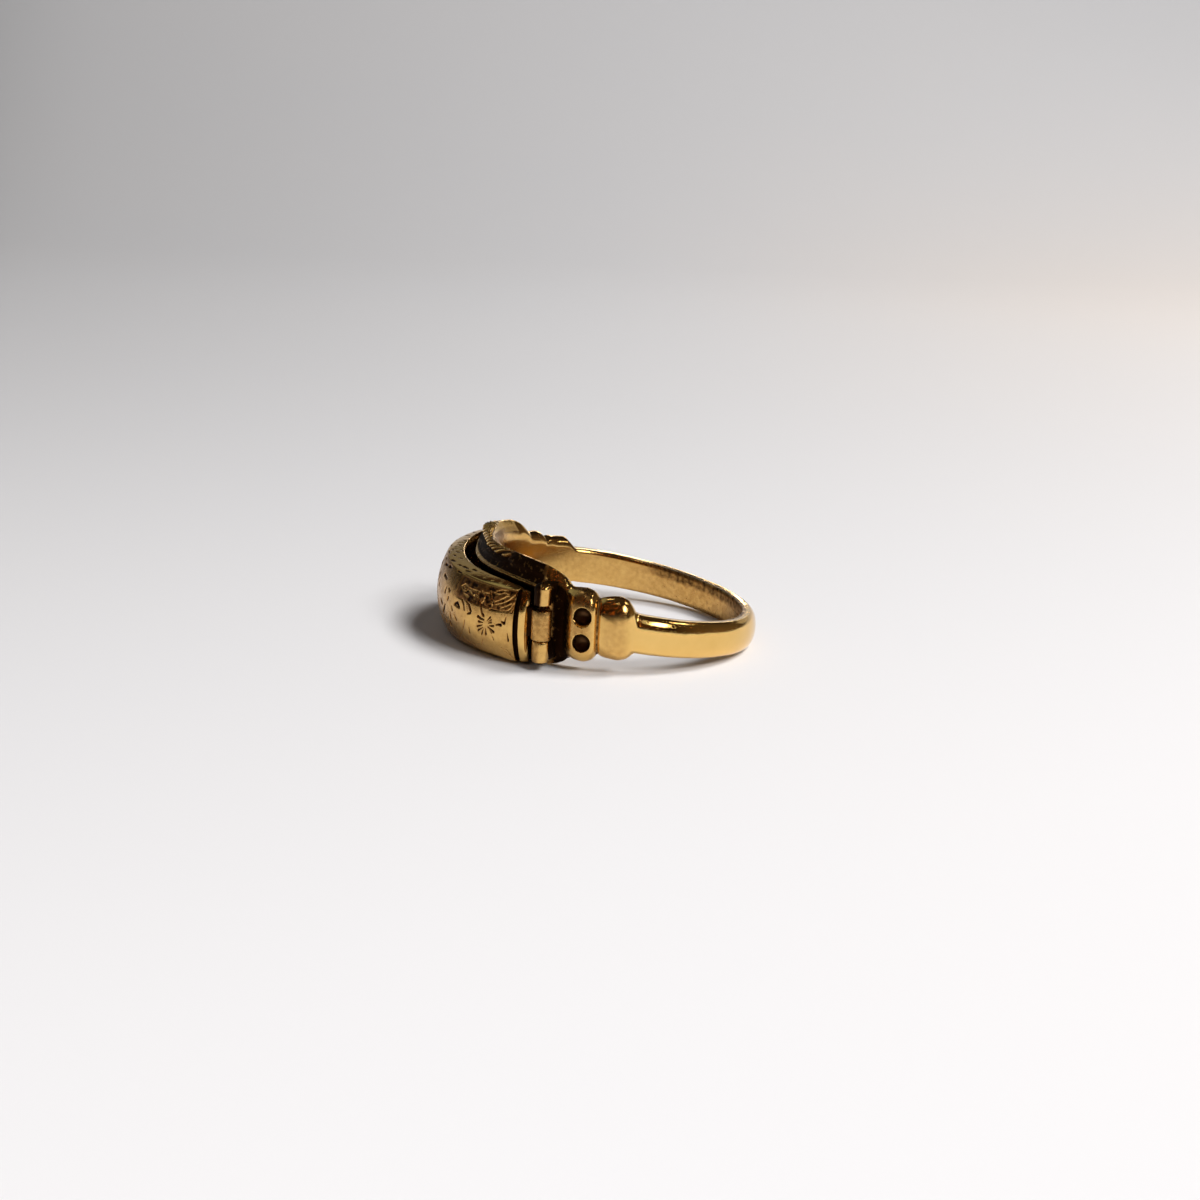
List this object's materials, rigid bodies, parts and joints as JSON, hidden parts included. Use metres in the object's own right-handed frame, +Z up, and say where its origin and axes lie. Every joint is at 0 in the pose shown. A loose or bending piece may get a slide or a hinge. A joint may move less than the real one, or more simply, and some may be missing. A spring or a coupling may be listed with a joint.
{
  "type": "poison ring",
  "caption": "Gold locket ring with a D-section shank, beaded and drilled shoulders and a hinged, engraved shell lid over a shallow compartment, lying on its side with the lid ajar.",
  "frame": {"origin": "middle of the finger hole, on its axis, at the middle height of the head", "axes": "+Z up along the finger hole's axis, -X towards the head and its lid, +X towards the back of the shank, -Y towards the hinge; the ring lies on its side on a floor at z -3.5 mm"},
  "size_m": [0.0224, 0.0199, 0.007],
  "materials": {
    "gold": "polished yellow gold alloy, worn"
  },
  "bodies": {
    "band": {"ring": "gold", "hinge_pin": "gold"},
    "cover": {"lid": "gold"}
  },
  "joints": [
    {"name": "lid_hinge", "type": "hinge", "parent": "band", "child": "cover", "pos_m": [-0.00723, -0.00809, -0.00038], "axis": [0, 0, 1], "range_deg": [-3.6, 102]}
  ]
}
